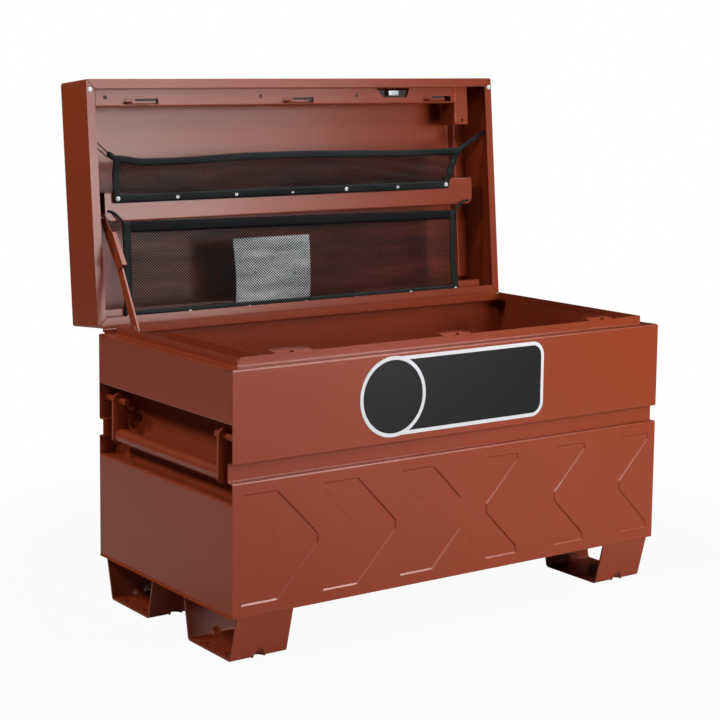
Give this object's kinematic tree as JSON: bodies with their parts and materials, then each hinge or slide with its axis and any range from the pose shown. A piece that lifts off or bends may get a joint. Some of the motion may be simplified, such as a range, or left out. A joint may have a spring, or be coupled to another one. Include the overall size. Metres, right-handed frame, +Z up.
{
  "type": "jobsite storage box",
  "caption": "Sheet-steel site storage chest: open hinged lid with storage nets and a hook latch, folding lid stay, swinging end handles in recesses, pressed chevrons and strap feet.",
  "frame": {"origin": "centre of the footprint on the floor, midway between the outer bolt holes of the feet", "axes": "+X to the user's right seen from the front, +Y to the back where the lid hinges, +Z up"},
  "size_m": [1.072, 0.6701, 1.064],
  "materials": {
    "powder_coat": "satin",
    "mesh": "woven",
    "plated_steel": "polished",
    "dull_steel": "dull"
  },
  "bodies": {
    "chest": {"floor_pan": "powder_coat", "foot_front_left": "powder_coat", "foot_front_right": "powder_coat", "foot_rear_left": "powder_coat", "foot_rear_right": "powder_coat", "front_wall": "powder_coat", "handle_brackets_left": "powder_coat", "handle_brackets_right": "powder_coat", "handle_pins_left": "powder_coat", "handle_pins_right": "powder_coat", "hinge_body_leaf": "powder_coat", "hinge_pin": "dull_steel", "inner_rail_left": "powder_coat", "inner_rail_right": "powder_coat", "latch_keepers": "powder_coat", "rear_wall": "powder_coat", "side_lower_left": "powder_coat", "side_lower_right": "powder_coat", "side_upper_left": "powder_coat", "side_upper_right": "powder_coat", "stay_bracket": "powder_coat"},
    "lid": {"lid_shell": "powder_coat", "latch_channel": "powder_coat", "bar_guides": "powder_coat", "lock_housing": "powder_coat", "mid_stiffener": "powder_coat", "end_stiffener_left": "powder_coat", "end_stiffener_right": "powder_coat", "hinge_rail": "powder_coat", "hinge_lid_leaf": "powder_coat", "upper_net": "mesh", "lower_net": "mesh", "stay_lid_bracket": "powder_coat"},
    "latch": {"latch_bar": "dull_steel", "latch_hooks": "powder_coat", "latch_lug": "plated_steel"},
    "stay_lower": {"stay_lower_arm": "powder_coat", "stay_elbow_pin": "dull_steel"},
    "stay_upper": {"stay_channel": "powder_coat"},
    "handle_left": {"handle_arm_front_left": "powder_coat", "handle_arm_rear_left": "powder_coat", "handle_grip_left": "powder_coat"},
    "handle_right": {"handle_arm_front_right": "powder_coat", "handle_arm_rear_right": "powder_coat", "handle_grip_right": "powder_coat"}
  },
  "joints": [
    {"name": "lid_hinge", "type": "hinge", "parent": "chest", "child": "lid", "pos_m": [0, 0.2587, 0.5561], "axis": [1, 0, 0], "range_deg": [0, 95.1]},
    {"name": "latch_slide", "type": "slide", "parent": "lid", "child": "latch", "axis": [1, 0, 0], "range_m": [0, 0.02]},
    {"name": "stay_foot", "type": "hinge", "parent": "chest", "child": "stay_lower", "pos_m": [-0.4955, 0.1663, 0.5649], "axis": [1, 0, 0], "range_deg": [0, 141.2]},
    {"name": "stay_elbow", "type": "hinge", "parent": "stay_lower", "child": "stay_upper", "pos_m": [-0.4955, 0.25114, 0.71796], "axis": [1, 0, 0], "range_deg": [-127.2, 0]},
    {"name": "handle_left_swing", "type": "hinge", "parent": "chest", "child": "handle_left", "pos_m": [-0.515, 0, 0.42], "axis": [0, 1, 0], "range_deg": [0, 95]},
    {"name": "handle_right_swing", "type": "hinge", "parent": "chest", "child": "handle_right", "pos_m": [0.515, 0, 0.42], "axis": [0, 1, 0], "range_deg": [-95, 0]}
  ],
  "couplings": [
    {"joint": "stay_foot", "follows": "lid_hinge", "ratio": 1.4786},
    {"joint": "stay_elbow", "follows": "lid_hinge", "ratio": -1.3315}
  ]
}
